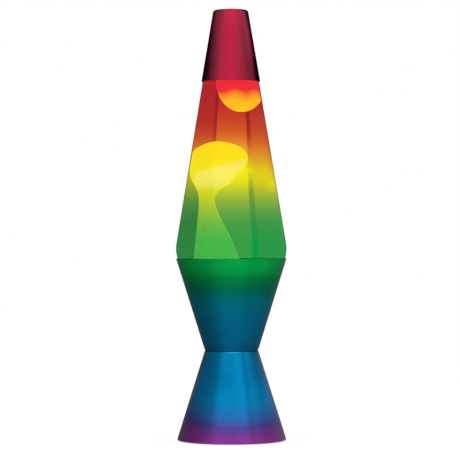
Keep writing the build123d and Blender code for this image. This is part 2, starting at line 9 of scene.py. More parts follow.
import bpy
from bpy.props import FloatProperty, FloatVectorProperty, IntProperty, PointerProperty
from bpy.types import Operator, Panel, PropertyGroup
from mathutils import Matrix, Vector


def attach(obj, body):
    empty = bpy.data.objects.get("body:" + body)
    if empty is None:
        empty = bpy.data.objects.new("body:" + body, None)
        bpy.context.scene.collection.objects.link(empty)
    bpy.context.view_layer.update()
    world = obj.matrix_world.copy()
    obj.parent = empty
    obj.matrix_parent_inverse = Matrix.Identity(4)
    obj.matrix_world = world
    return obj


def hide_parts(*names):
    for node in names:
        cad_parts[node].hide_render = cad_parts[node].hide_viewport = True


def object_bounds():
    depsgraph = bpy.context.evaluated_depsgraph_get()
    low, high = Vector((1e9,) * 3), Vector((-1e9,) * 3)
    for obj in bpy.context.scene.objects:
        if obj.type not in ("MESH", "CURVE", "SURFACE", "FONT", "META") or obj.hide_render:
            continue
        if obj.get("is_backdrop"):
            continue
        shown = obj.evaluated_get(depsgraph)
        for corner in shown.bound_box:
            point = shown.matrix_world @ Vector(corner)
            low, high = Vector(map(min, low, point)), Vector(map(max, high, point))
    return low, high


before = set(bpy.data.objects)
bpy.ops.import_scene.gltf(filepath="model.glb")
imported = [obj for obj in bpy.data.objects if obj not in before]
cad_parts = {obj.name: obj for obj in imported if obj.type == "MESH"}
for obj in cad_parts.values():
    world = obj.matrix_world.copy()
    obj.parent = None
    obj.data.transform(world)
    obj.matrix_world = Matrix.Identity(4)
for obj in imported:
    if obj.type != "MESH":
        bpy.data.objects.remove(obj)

bl_info = {
    "name": "Liquid Motion Lamp",
    "version": (1, 0, 0),
    "blender": (4, 5, 0),
    "location": "3D View > Sidebar > Lamp",
    "description": "Adds a liquid motion lamp, piece by piece, and the stage that it is shown on",
    "category": "Add Mesh",
}

CAD_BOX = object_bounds()
MM = 0.001


# Sizes and colours that a user would change


def length(name, description, millimetres):
    """A length given in millimetres and kept in metres."""
    return FloatProperty(
        name=name,
        description=description,
        default=millimetres * MM,
        min=0.0,
        precision=5,
        unit="LENGTH",
    )


def linear(*display):
    """Linear light of 8-bit display values."""
    shares = [value / 255 for value in display]
    return [s / 12.92 if s <= 0.04045 else ((s + 0.055) / 1.055) ** 2.4 for s in shares]


def colour(name, description, *display):
    """A colour given as 8-bit display values and kept as linear light."""
    return FloatVectorProperty(
        name=name,
        description=description,
        default=linear(*display),
        min=0.0,
        soft_max=1.0,
        subtype="COLOR",
    )


class LampSizes(PropertyGroup):
    """Sizes of the lamp's pieces."""

    segments: IntProperty(name="Segments", description="Faces round a turned piece", default=144, min=24)
    hem_level: length("Hem height", "Underside of the lower cone", 0.8)
    waist_level: length("Waist height", "Where the two cones meet", 77.4)
    rim_level: length("Rim height", "Open end of the upper cone", 155.9)
    belly_level: length("Belly height", "Widest part of the globe", 162.4)
    cap_edge_level: length("Cap edge height", "Lower edge of the cap", 307.2)
    shoulder_level: length("Shoulder height", "Top of the globe's taper", 327.7)
    neck_level: length("Neck height", "Foot of the globe's neck", 332.7)
    lip_level: length("Lip height", "Top of the globe's neck", 347.7)
    cap_top_level: length("Cap top height", "Top of the lamp", 368.3)
    globe_level: length("Globe bottom height", "Underside of the globe", 120.8)
    pool_level: length("Pool height", "Top of the wax that lies in the globe", 136.0)
    liquid_level: length("Liquid height", "Top of the liquid", 327.7)
    foot_radius: length("Foot radius", "Wide end of the lower cone", 46.85)
    hem_width: length("Hem width", "Hem turned in under the lower cone", 4.0)
    waist_radius: length("Waist radius", "Narrow end of the lower cone", 22.85)
    cup_radius: length("Cup radius", "Narrow end of the upper cone", 22.75)
    rim_radius: length("Rim radius", "Wide end of the upper cone", 47.2)
    hole_radius: length("Hole radius", "Hole for the lampholder in both cones", 12.15)
    cone_rounding: length("Lower cone rounding", "Both ends of the lower cone", 1.0)
    cup_rounding: length("Upper cone rounding", "Narrow end of the upper cone", 1.8)
    cap_rounding: length("Cap rounding", "Closed end of the cap", 2.6)
    cone_wall: length("Cone wall", "Sheet of the two cones", 0.9)
    cap_wall: length("Cap wall", "Sheet of the cap", 0.8)
    cap_edge_radius: length("Cap edge radius", "Open end of the cap", 25.16)
    cap_top_radius: length("Cap top radius", "Closed end of the cap", 14.82)
    heel_radius: length("Heel radius", "Globe at its bottom edge", 35.0)
    belly_radius: length("Belly radius", "Globe at its widest", 47.96)
    shoulder_radius: length("Shoulder radius", "Globe at the top of its taper", 20.66)
    neck_radius: length("Neck radius", "Globe's neck", 12.55)
    heel_rounding: length("Heel rounding", "Globe at its bottom edge", 6.0)
    belly_rounding: length("Belly rounding", "Globe at its widest", 28.0)
    shoulder_rounding: length("Shoulder rounding", "Globe at the top of its taper", 7.0)
    neck_rounding: length("Neck rounding", "Foot of the globe's neck", 4.0)
    punt_radius: length("Punt radius", "Hollow under the globe", 22.0)
    punt_depth: length("Punt depth", "Depth of the hollow under the globe", 2.0)
    lip_radius: length("Lip radius", "Bead round the top of the neck", 13.35)
    lip_height: length("Lip depth", "Height of the bead", 3.4)
    glass_wall: length("Glass wall", "Glass of the globe, as thin as the liquid makes it look", 0.9)
    glass_base: length("Glass base", "Glass under the wax", 4.2)
    glass_gap: length("Glass gap", "Room between the glass and what fills it", 0.1)
    blob_offset: length("Blob offset", "How far the risen wax stands to the right", 9.0)
    blob_level: length("Blob height", "Middle of the risen wax", 306.8)
    blob_top_level: length("Blob top height", "Where the risen wax ends under the cap", 324.6)
    blob_radius: length("Blob radius", "Risen wax", 21.5)
    blob_rise: length("Blob rise", "Half the height of the risen wax before it is cut off", 25.6)
    coil_level: length("Coil height", "Middle of the ring of wire in the wax", 128.35)
    coil_ring_radius: length("Coil ring radius", "Ring of wire in the wax", 27.0)
    coil_radius: length("Coil radius", "Turns of the wire", 3.2)
    wire_radius: length("Wire radius", "Wire of the coil", 0.5)
    closure_radius: length("Closure radius", "Wide end of the crimped closure", 16.05)
    closure_top_level: length("Closure height", "Top of the crimped closure", 349.0)
    closure_skirt: length("Closure skirt", "Height of the crimped closure", 5.6)
    closure_flare: length("Closure flare", "How much narrower the closure is at the top", 1.9)
    closure_wall: length("Closure wall", "Sheet of the closure", 0.5)
    bush_level: length("Bush height", "Bush for the cord in the lower cone", 15.7)
    bush_radius: length("Bush radius", "Hole for the bush in the lower cone", 5.55)
    bulb_radius: length("Bulb radius", "Ball of the bulb", 17.5)
    bulb_top_level: length("Bulb height", "Top of the bulb", 117.8)
    bulb_neck_radius: length("Bulb neck radius", "Straight neck of the bulb", 7.4)
    bulb_flare_radius: length("Bulb flare", "Hollow curve from the neck into the ball", 9.0)
    bulb_wall: length("Bulb wall", "Glass of the bulb", 0.7)
    screw_level: length("Screw height", "Lower edge of the screw base", 63.6)
    screw_height: length("Screw length", "Height of the screw base", 16.5)
    screw_radius: length("Screw radius", "Screw base over its thread", 8.3)
    screw_pitch: length("Screw pitch", "Rise of the thread in one turn", 2.8)


class LampColours(PropertyGroup):
    """Colours of the lamp's finishes."""

    cap: colour("Cap", "Lacquer of the cap", 190, 37, 71)
    rim: colour("Upper cone, rim", "Lacquer at the rim of the upper cone", 8, 161, 72)
    cup: colour("Upper cone, middle", "Lacquer in the middle of the upper cone", 1, 105, 122)
    cup_waist: colour("Upper cone, waist", "Lacquer at the waist of the upper cone", 6, 91, 125)
    base_waist: colour("Lower cone, waist", "Lacquer at the waist of the lower cone", 8, 127, 172)
    base: colour("Lower cone, middle", "Lacquer in the middle of the lower cone", 7, 131, 188)
    foot: colour("Lower cone, foot", "Lacquer at the foot of the lower cone", 137, 58, 144)
    closure: colour("Closure", "Lacquer of the crimped closure", 205, 170, 90)
    brass: colour("Brass", "Contacts and terminals", 214, 178, 102)
    steel: colour("Steel", "Plated steel", 176, 176, 172)
    tin: colour("Tin", "Screw base of the bulb", 200, 198, 192)
    phenolic: colour("Phenolic", "Moulding of the lampholder", 38, 33, 30)
    plastic: colour("Plastic", "Cover in the foot", 34, 35, 37)
    rubber: colour("Rubber", "Feet and bush", 30, 30, 31)


def sizes():
    return bpy.context.scene.lamp_sizes


def colours():
    return bpy.context.scene.lamp_colours


# Finishes


class Signal:
    """An output socket in a node tree. Arithmetic on it adds Math nodes."""

    def __init__(self, nodes, socket):
        self.nodes = nodes
        self.socket = socket

    def math(self, operation, *values):
        return self.nodes.add("ShaderNodeMath", {"operation": operation}, dict(enumerate(values)))

    def __add__(self, other):
        return self.math("ADD", self, other)

    def __radd__(self, other):
        return self.math("ADD", other, self)

    def __sub__(self, other):
        return self.math("SUBTRACT", self, other)

    def __rsub__(self, other):
        return self.math("SUBTRACT", other, self)

    def __mul__(self, other):
        return self.math("MULTIPLY", self, other)

    def __rmul__(self, other):
        return self.math("MULTIPLY", other, self)

    def __truediv__(self, other):
        return self.math("DIVIDE", self, other)

    def larger(self, other):
        return self.math("MAXIMUM", self, other)

    def smooth(self, low, high):
        """0 at low, 1 at high and an eased step between them."""
        settings = {"interpolation_type": "SMOOTHSTEP"}
        sockets = {0: self, 1: low, 2: high, 3: 0.0, 4: 1.0}
        return self.nodes.add("ShaderNodeMapRange", settings, sockets)

    def beside(self, output):
        """Another output of the same node."""
        return Signal(self.nodes, self.socket.node.outputs[output])


class Nodes:
    """The node tree of a finish in the making."""

    def __init__(self, owner):
        owner.use_nodes = True
        self.owner = owner
        self.tree = owner.node_tree
        self.tree.nodes.clear()

    def add(self, kind, settings=None, sockets=None, output=0):
        """Adds a node: its settings first, then the values or links of its sockets."""
        node = self.tree.nodes.new(kind)
        for key, value in (settings or {}).items():
            if key == "stops":
                self.set_stops(node.color_ramp, value)
            else:
                setattr(node, key, value)
        for key, value in (sockets or {}).items():
            if isinstance(value, Signal):
                self.tree.links.new(value.socket, node.inputs[key])
            else:
                node.inputs[key].default_value = value
        return Signal(self, node.outputs[output]) if node.outputs else None

    @staticmethod
    def set_stops(ramp, stops):
        for _ in stops[2:]:
            ramp.elements.new(0.5)
        for element, (place, value) in zip(ramp.elements, stops):
            element.position = place
            element.color = (*value, 1.0)

    def place(self, centre=(0, 0, 0), stretch=(1, 1, 1)):
        """A point in millimetres from a centre on the lamp."""
        scale = [s / MM for s in stretch]
        shift = [-c * s for c, s in zip(centre, stretch)]
        point = self.add("ShaderNodeTexCoord", output="Object")
        return self.add("ShaderNodeMapping", None, {"Vector": point, "Location": shift, "Scale": scale})

    def split(self, point):
        """X, Y and Z of a point."""
        x = self.add("ShaderNodeSeparateXYZ", None, {0: point})
        return x, x.beside(1), x.beside(2)

    def by_height(self, z, bands):
        """Runs through bands of (height in millimetres, linear colour)."""
        low, high = bands[0][0], bands[-1][0]
        stops = [((height - low) / (high - low), value) for height, value in bands]
        return self.add("ShaderNodeValToRGB", {"stops": stops}, {0: (z - low) / (high - low)})

    def noise(self, point, scale, detail=2.0, roughness=0.5):
        """Noise between 0 and 1 with so many lumps to a millimetre."""
        sockets = {"Vector": point, "Scale": scale, "Detail": detail, "Roughness": roughness}
        return self.add("ShaderNodeTexNoise", None, sockets)

    def mix(self, share, first, second, blend="MIX"):
        """Two colours mixed by a share."""
        settings = {"data_type": "RGBA", "blend_type": blend}
        first, second = (v if isinstance(v, Signal) else (*v, 1.0) for v in (first, second))
        return self.add("ShaderNodeMix", settings, {0: share, 6: first, 7: second}, output=2)

    def bump(self, height, depth):
        """A bump from a height between 0 and 1 and its depth in millimetres."""
        return self.add("ShaderNodeBump", None, {"Height": height, "Distance": depth * MM, "Strength": 1.0})

    def principled(self, **sockets):
        """Ends the tree in a Principled shader and gives back the material."""
        named = {key.replace("_", " "): value for key, value in sockets.items()}
        for key, value in named.items():
            if isinstance(value, (list, tuple)) and len(value) == 3:
                named[key] = (*value, 1.0)
        return self.end(self.add("ShaderNodeBsdfPrincipled", None, named))

    def end(self, shader, kind="ShaderNodeOutputMaterial"):
        self.add(kind, None, {"Surface": shader})
        return self.owner


def new_finish(name):
    return Nodes(bpy.data.materials.new(name))


def bands_of(table):
    """Bands of linear colour from rows of (height in millimetres, 8-bit display values)."""
    return [(height, linear(*display)) for height, *display in table]


# The grey that a painted sheen turns the lacquer's sides to
SHEEN_GREY = (0.12, 0.17, 0.2)


def spun_lacquer(name, bands, edge, rise=0.0, haze_and_sheen=0.0, painted_side_shade=0.0):
    """Tinted lacquer on spun sheet, with faint rings and its own tint where it is seen edge on.

    Towards the left side its bands rise by so many millimetres, and towards the right by half as
    many. Towards both sides painted sheen greys it and painted shade darkens it, lower down more.
    """
    nodes = new_finish(name)
    point = nodes.place()
    x, y, z = nodes.split(point)
    to_side = x * x / (x * x + y * y + 1)
    rings = nodes.noise(nodes.place(stretch=(0.02, 0.02, 2.5)), 1.0, detail=3.0, roughness=0.6)
    patches = nodes.noise(point, 0.04, detail=3.0)
    low, high = bands[0][0], bands[-1][0]
    rises = to_side * (rise - x.smooth(-1, 1) * rise / 2)
    fade = nodes.by_height(z + (patches - 0.5) * 0.7 - rises, bands)
    # Towards both sides a painted sheen turns the colour greyer
    fade = nodes.mix(to_side * haze_and_sheen, fade, SHEEN_GREY)
    # Darker in random patches, and towards both sides by painted shade, the lower the more
    shade = patches.smooth(0.35, 0.8) * 0.14 + to_side * painted_side_shade * (high - z) / (high - low)
    return nodes.principled(
        Base_Color=nodes.mix(shade, fade, (0.0, 0.0, 0.0)),
        Metallic=1.0,
        Specular_Tint=edge,
        Roughness=0.15 + patches * 0.07 + rings * 0.04,
        Normal=nodes.bump(rings, 0.004),
    )


def bare_metal(name, tint, roughness, tarnish=0.35, scale=0.25):
    """Metal with a patchy tarnish and fine scratches."""
    nodes = new_finish(name)
    point = nodes.place()
    patches = nodes.noise(point, scale, detail=4.0, roughness=0.6)
    grain = nodes.noise(nodes.place(stretch=(6, 0.6, 6)), 1.0, detail=2.0)
    worn = nodes.mix(patches.smooth(0.4, 0.75) * tarnish, tint, [t * 0.45 for t in tint])
    return nodes.principled(
        Base_Color=worn,
        Metallic=1.0,
        Roughness=roughness + patches * 0.15,
        Normal=nodes.bump(grain, 0.01),
    )


def moulded(name, tint, roughness, speckle=0.3, scale=1.5, depth=0.03):
    """Moulded plastic, phenolic or rubber: a fine grain with slightly paler specks."""
    nodes = new_finish(name)
    point = nodes.place()
    grain = nodes.noise(point, scale, detail=4.0, roughness=0.7)
    specks = grain.smooth(0.55, 0.7) * speckle
    return nodes.principled(
        Base_Color=nodes.mix(specks, tint, [min(t * 2.2 + 0.01, 1.0) for t in tint]),
        Roughness=roughness + nodes.noise(point, 0.15) * 0.15,
        Normal=nodes.bump(grain, depth),
    )


# What the globe looks like from outside, upwards: the liquid, and the wax in it
LIQUID_LOOK = bands_of([
    (110, 52, 156, 70),
    (171, 56, 157, 70),
    (187, 72, 160, 68),
    (197, 109, 167, 67),
    (204, 138, 178, 62),
    (211, 174, 196, 51),
    (218, 215, 216, 38),
    (224, 238, 227, 31),
    (231, 243, 230, 27),
    (238, 241, 207, 33),
    (248, 236, 168, 40),
    (256, 225, 128, 41),
    (265, 211, 88, 39),
    (276, 201, 65, 40),
    (288, 190, 48, 40),
    (300, 180, 38, 39),
    (360, 178, 36, 39),
])
# Painted shade: what is left of the liquid's red, green and blue by height, towards its left and
# its right side and in the two dark streaks between
LEFT_SHADE = [
    (168, (0.66, 0.67, 0.8)), (186, (0.43, 0.6, 0.83)), (200, (0.34, 0.62, 0.87)),
    (214, (0.43, 0.6, 1.0)), (240, (0.7, 0.55, 1.0)), (264, (0.83, 0.49, 1.0)),
    (274, (0.77, 0.42, 1.0)), (291, (0.88, 0.75, 1.0)), (310, (0.92, 0.9, 1.0)),
]
RIGHT_SHADE = [
    (168, (0.57, 0.93, 1.0)), (187, (0.66, 0.92, 1.0)), (200, (0.84, 0.94, 1.0)),
    (214, (0.88, 0.85, 1.0)), (228, (0.84, 0.79, 1.0)), (243, (0.82, 0.64, 1.0)),
    (257, (0.86, 0.55, 1.0)), (265, (0.86, 0.67, 1.0)), (276, (0.86, 0.74, 1.0)),
    (300, (0.9, 0.85, 1.0)),
]
STREAK_SHADE = [
    (168, (0.03, 1.0, 0.85)), (180, (0.2, 0.9, 0.9)), (197, (0.5, 0.8, 1.0)),
    (214, (0.45, 0.58, 1.0)), (224, (0.62, 0.72, 1.0)), (232, (0.88, 0.88, 1.0)),
    (247, (0.8, 0.6, 1.0)), (258, (0.66, 0.3, 1.0)), (266, (0.61, 0.2, 1.0)),
    (276, (0.56, 0.3, 1.0)), (300, (0.55, 0.45, 1.0)),
]
WAX_LOOK = bands_of([
    (110, 66, 178, 72),
    (172, 70, 180, 72),
    (187, 112, 182, 66),
    (201, 171, 200, 54),
    (214, 226, 221, 30),
    (222, 241, 227, 28),
    (228, 245, 226, 28),
    (242, 248, 221, 27),
    (257, 251, 207, 28),
    (284, 253, 190, 30),
    (289, 253, 186, 30),
    (293, 249, 160, 36),
    (296.5, 240, 112, 42),
    (299.5, 237, 46, 52),
    (360, 239, 38, 55),
])
# The liquid's glow and the wax's base colour, as shares of how they look
LIQUID_GLOW = 0.25
WAX_BODY = 0.3
# How bright the cap's bare inside is behind the glass, and the strength of the wax's light
CAP_INSIDE = 0.25
WAX_STRENGTH = 2.5
# Sockets of what lets light through almost unbent
SEE_THROUGH = {"Roughness": 0.0, "IOR": 1.01, "Transmission_Weight": 1.0}


def look_at(look, height):
    """Colour of a look at a height."""
    for (low, before), (high, after) in zip(look, look[1:]):
        if low <= height <= high:
            share = (height - low) / (high - low)
            return [b + (a - b) * share for b, a in zip(before, after)]
    raise ValueError(height)


def glass_tint(seen):
    """What one wall of the glass lets through, so that two walls and the glow look as seen."""
    return [-LIQUID_GLOW * s + ((LIQUID_GLOW * s) ** 2 + s) ** 0.5 for s in seen]


def wax_light(height, seen):
    """What the wax sends out, so that it looks as seen through one wall and the glow."""
    behind = look_at(LIQUID_LOOK, height)
    light = [
        s / t - LIQUID_GLOW * b - WAX_BODY * s * t
        for s, t, b in zip(seen, glass_tint(behind), behind)
    ]
    return [max(value, 0.0) / WAX_STRENGTH for value in light]


def look_level(x, z):
    """Height on the liquid's fade, which hangs lower at its right edge."""
    return z + x.smooth(27, 37) * z.smooth(208, 226) * 10


def shade_by_side(nodes, x, y, z, power):
    """How much painted shade darkens the liquid for how far round a point lies, from left to right."""
    turn = x.math("ARCTAN2", x, y.math("ABSOLUTE", y)) / pi + 0.5
    # Two upright streaks of painted shade, the right one slanting above 214 mm
    streak_turn = turn - (z - 214).larger(0.0) * 0.00035
    painted_streaks = streak_turn.smooth(0.616, 0.632) * (1 - streak_turn.smooth(0.656, 0.672))
    painted_streaks = painted_streaks + turn.smooth(0.33, 0.345) * (1 - turn.smooth(0.361, 0.376))
    left, right, line = (
        nodes.by_height(z, [(height, [s ** power for s in shade]) for height, shade in table])
        for table in (LEFT_SHADE, RIGHT_SHADE, STREAK_SHADE)
    )
    shade = nodes.mix(1 - turn.smooth(0.335, 0.36), (1.0, 1.0, 1.0), left)
    shade = nodes.mix(streak_turn.smooth(0.64, 0.67), shade, right)
    return nodes.mix(painted_streaks, shade, line)


def blown_waves(nodes):
    """Bump of the slight waves in blown glass."""
    return nodes.bump(nodes.noise(nodes.place(stretch=(1, 1, 0.4)), 0.05, detail=1.0), 0.02)


def globe_glass_finish(name):
    """Tinted and glossy outside of the glass, green over the rim and red under the cap."""
    nodes = new_finish(name)
    x, y, z = nodes.split(nodes.place())
    tints = [(height, [t ** 2 for t in glass_tint(seen)]) for height, seen in LIQUID_LOOK]
    tint = nodes.by_height(look_level(x, z), tints)
    # The back half of the glass gets the liquid's painted shade by side, squared
    tint = nodes.mix(y.smooth(0, 1), tint, shade_by_side(nodes, x, y, z, 2), blend="MULTIPLY")
    coat = {"Coat_Weight": 0.12, "Coat_IOR": 1.22, "Coat_Roughness": 0.02}
    return nodes.principled(Base_Color=tint, Normal=blown_waves(nodes), **coat, **SEE_THROUGH)


def inner_glass_finish(name):
    """Inside of the glass, which leaves the tint to its outside."""
    nodes = new_finish(name)
    clear = (1.0, 1.0, 1.0)
    return nodes.principled(Base_Color=clear, Normal=blown_waves(nodes), **SEE_THROUGH)


def liquid_finish():
    """Clear liquid that glows with the light from below.

    Behind, over the cap's edge, it glows by what the cap's inside gives less than the white
    surroundings do, so that the cap's edge doesn't show through.
    """
    nodes = new_finish("glowing_liquid")
    x, y, z = nodes.split(nodes.place())
    glows = [(height, [LIQUID_GLOW * s for s in seen]) for height, seen in LIQUID_LOOK]
    glow = nodes.by_height(look_level(x, z), glows)
    cap_edge = 307
    seen = look_at(LIQUID_LOOK, cap_edge)
    whole = [s / t - LIQUID_GLOW * s - CAP_INSIDE * t for s, t in zip(seen, glass_tint(seen))]
    glow = nodes.mix(y.smooth(0, 1) * z.smooth(cap_edge - 2, cap_edge), glow, whole)
    # The glow gets the liquid's painted shade by side
    glow = nodes.mix(1.0, glow, shade_by_side(nodes, x, y, z, 1), blend="MULTIPLY")
    light = {"Emission_Color": glow, "Emission_Strength": 1.0}
    return nodes.principled(Base_Color=(1.0, 1.0, 1.0), **light, **SEE_THROUGH)


def wax_finish():
    """Wax lit from below and within: pale where it is thick, and red where the cap shades it."""
    nodes = new_finish("lit_wax")
    point = nodes.place()
    x, _, z = nodes.split(point)
    drift = nodes.noise(point, 0.06, detail=2.0) - 0.5
    wave = x.math("COSINE", (x - 3) / 3.0)
    level = z - z.smooth(265, 285) * (wave * 1.3 - drift * 3)
    body = nodes.by_height(level, [(h, [WAX_BODY * s for s in seen]) for h, seen in WAX_LOOK])
    light = nodes.by_height(level, [(h, wax_light(h, seen)) for h, seen in WAX_LOOK])
    # The pale patch low on the dome, a brighter painted glow, whose upper edge slants up to the right
    slant = 238.6 + x * 0.25 + drift * 7
    patch = (slant - z).smooth(0.0, 4.5) * z.smooth(213.0, 220.0) * x.smooth(-34.0, -28.0)
    patch = patch * (1 - (x - z * 0.8).smooth(-180.0, -175.0))
    pale = bands_of([(217, 243, 236, 90), (231, 249, 238, 96)])
    pale = nodes.by_height(z, [(h, wax_light(h, seen)) for h, seen in pale])
    light = nodes.mix(patch, light, pale)
    return nodes.principled(
        Base_Color=body,
        Roughness=0.35,
        Specular_IOR_Level=0.2,
        Emission_Color=light,
        Emission_Strength=WAX_STRENGTH,
        Normal=nodes.bump(nodes.noise(point, 0.12, detail=1.0), 0.15),
    )


def clear_glass(name):
    """Thin clear glass with a slight haze."""
    nodes = new_finish(name)
    haze_and_sheen = nodes.noise(nodes.place(), 0.2, detail=3.0)
    return nodes.principled(
        Base_Color=nodes.mix(haze_and_sheen * 0.1, (0.97, 0.98, 0.97), (0.85, 0.87, 0.86)),
        Roughness=haze_and_sheen * 0.06,
        IOR=1.45,
        Transmission_Weight=1.0,
    )


# Modelling


def edit_mode():
    bpy.ops.object.mode_set(mode="EDIT")


def object_mode():
    bpy.ops.object.mode_set(mode="OBJECT")


def deselect():
    bpy.ops.object.select_all(action="DESELECT")


def alone(piece):
    """Makes a piece the only selected object and the active one."""
    deselect()
    piece.select_set(True)
    bpy.context.view_layer.objects.active = piece


def added(name, primitive, **settings):
    """Adds a mesh primitive, and names the object and its mesh."""
    deselect()
    getattr(bpy.ops.mesh, f"primitive_{primitive}_add")(**settings)
    piece = bpy.context.object
    piece.name = piece.data.name = name
    return piece


# How far from a rounding the straight run beside it gets a point, so that its shading stays
# straight
SUPPORT = 0.15 * MM


def points_of(*corners):
    """Points in metres along runs between corners of (radius, height, rounding)."""
    places = [Vector(corner[:2]) for corner in corners]
    line = [places[0]]
    for before, here, after, corner in zip(places, places[1:], places[2:], corners[1:]):
        if len(corner) < 3:
            line.append(here)
            continue
        back, ahead = (before - here).normalized(), (after - here).normalized()
        half = back.angle(ahead) / 2
        centre = here + (back + ahead).normalized() * (corner[2] / sin(half))
        reach = corner[2] / tan(half)
        start, end = here + back * reach - centre, here + ahead * reach - centre
        line.append(here + back * (reach + SUPPORT))
        line += arc(centre, corner[2], atan2(start.y, start.x), atan2(end.y, end.x))
        line.append(here + ahead * (reach + SUPPORT))
    return line + [places[-1]]


def arc(centre, radius, start, end, steps=8):
    """Points along the shorter arc between two angles."""
    sweep = (end - start + pi) % (2 * pi) - pi
    angles = [start + sweep * step / steps for step in range(steps + 1)]
    return [Vector(centre) + radius * Vector((cos(angle), sin(angle))) for angle in angles]


def inset(line, wall):
    """A line drawn a wall inwards, on the left of its way."""
    inner = []
    for before, here, after in zip([line[0]] + line, line, line[1:] + [line[-1]]):
        back, ahead = (here - before).normalized(), (after - here).normalized()
        along = (back + ahead).normalized()
        mitre = along.dot(ahead if ahead.length else back)
        inner.append(here + Vector((-along.y, along.x)) * (wall / mitre))
    return inner


def walled(line, wall):
    """Closes a line into the section of a wall."""
    inner = [Vector((max(point.x, 0), point.y)) for point in inset(line, wall)]
    return line + inner[::-1] + line[:1]


def between(line, low, high):
    """The part of a rising line between two heights."""
    part = []
    for here, there in zip(line, line[1:]):
        for level in (low, high):
            if here.y < level < there.y:
                part.append(here.lerp(there, (level - here.y) / (there.y - here.y)))
        if low <= there.y <= high:
            part.append(there)
    return sorted(part, key=lambda point: point.y)


def radius_at(line, level):
    """Radius of a rising line at a height."""
    return between(line, level, level + 1)[0].x


def drawn(name, line):
    """Draws a line of (radius, height) points and stays in edit mode with all of it selected."""
    piece = added(name, "plane", size=MM)
    edit_mode()
    bpy.ops.mesh.merge(type="CENTER")
    bpy.ops.transform.translate(value=(line[0].x, 0, line[0].y))
    for here, there in zip(line, line[1:]):
        step = there - here
        bpy.ops.mesh.extrude_region_move(TRANSFORM_OT_translate={"value": (step.x, 0, step.y)})
    bpy.ops.mesh.select_all(action="SELECT")
    return piece


def spin(steps, **settings):
    """Spins what is selected once round the lamp's axis."""
    bpy.ops.mesh.spin(steps=steps, angle=2 * pi, center=(0, 0, 0), axis=(0, 0, 1), **settings)


def turned(name, line, segments=None):
    """Turns a line of (radius, height) points round the lamp's axis."""
    piece = drawn(name, line)
    spin(segments or sizes().segments)
    merge_doubles()
    return piece


def merge_doubles():
    """Merges what touches, in edit mode, turns the faces outwards and leaves edit mode."""
    bpy.ops.mesh.select_all(action="SELECT")
    bpy.ops.mesh.remove_doubles(threshold=2e-6)
    bpy.ops.mesh.normals_make_consistent(inside=False)
    object_mode()


def stacked(name, rings):
    """Lofts level circles of (x, height, radius) and closes the top at the last one's middle."""
    x, level, radius = rings[0]
    piece = added(name, "circle", vertices=64, radius=radius, fill_type="NGON")
    edit_mode()
    bpy.ops.transform.translate(value=(x, 0, level))
    for before, after in zip(rings, rings[1:]):
        move = (after[0] - before[0], 0, after[1] - before[1])
        bpy.ops.mesh.extrude_region_move(TRANSFORM_OT_translate={"value": move})
        size = after[2] / before[2]
        bpy.ops.transform.resize(value=(size, size, 1), center_override=(after[0], 0, after[1]))
    bpy.ops.mesh.merge(type="CENTER")
    merge_doubles()
    return piece


def modify(piece, kind, **settings):
    """Adds a modifier and applies it."""
    alone(piece)
    modifier = piece.modifiers.new(kind.title(), kind)
    for key, value in settings.items():
        setattr(modifier, key, value)
    bpy.ops.object.modifier_apply(modifier=modifier.name)


def soften(piece, width):
    """Takes the sharp edges off a piece of sheet."""
    modify(piece, "BEVEL", width=width, segments=2, angle_limit=radians(50))


def cut(piece, tool, operation="DIFFERENCE"):
    """Cuts a piece with a tool that isn't kept."""
    modify(piece, "BOOLEAN", object=tool, operation=operation, solver="EXACT")
    bpy.data.objects.remove(tool)
    return piece


def select_points(piece, wanted):
    """Enters edit mode with only those vertices selected that pass a test of their place."""
    alone(piece)
    edit_mode()
    bpy.ops.mesh.select_mode(type="VERT")
    bpy.ops.mesh.select_all(action="DESELECT")
    object_mode()
    for vertex in piece.data.vertices:
        vertex.select = wanted(vertex.co)
    edit_mode()


def line_inside(piece, level):
    """Gives the second finish to the faces that look at a point on the axis inside a hollow piece."""
    middle = Vector((0, 0, level))
    for face in piece.data.polygons:
        face.material_index = int((middle - face.center).dot(face.normal) > 0)


def bare_sheet():
    known = bpy.data.materials.get("bare_sheet")
    return known or bare_metal("bare_sheet", linear(205, 205, 203), 0.35, tarnish=0.15)


def settle(piece, body, node, slot, *finishes, sharp=35):
    """Shades a finished piece and puts it in the place of a CAD node."""
    alone(piece)
    bpy.ops.object.shade_smooth_by_angle(angle=radians(sharp))
    for finish in finishes:
        piece.data.materials.append(finish)
    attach(piece, body)
    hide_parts(node)
    return {"FINISHED"}


def dress(finish, *nodes):
    """Gives CAD nodes a finish."""
    for node in nodes:
        for slot in bpy.data.objects[node].material_slots:
            slot.material = finish


def globe_line():
    """Outside of the globe, from the middle of its bottom to the top of its neck."""
    s = sizes()
    return points_of(
        (0, s.globe_level),
        (s.heel_radius, s.globe_level, s.heel_rounding),
        (s.belly_radius, s.belly_level, s.belly_rounding),
        (s.shoulder_radius, s.shoulder_level, s.shoulder_rounding),
        (s.neck_radius, s.neck_level, s.neck_rounding),
        (s.neck_radius, s.lip_level),
    )


def room_line(gap):
    """Inside of the globe, a gap away from the glass, from its floor to the top of its neck."""
    s = sizes()
    floor = s.globe_level + s.glass_base + gap
    side = between(inset(globe_line(), s.glass_wall + gap), floor, s.lip_level)
    return [Vector((0, side[0].y))] + side


# Operators, one for each piece or group of like pieces


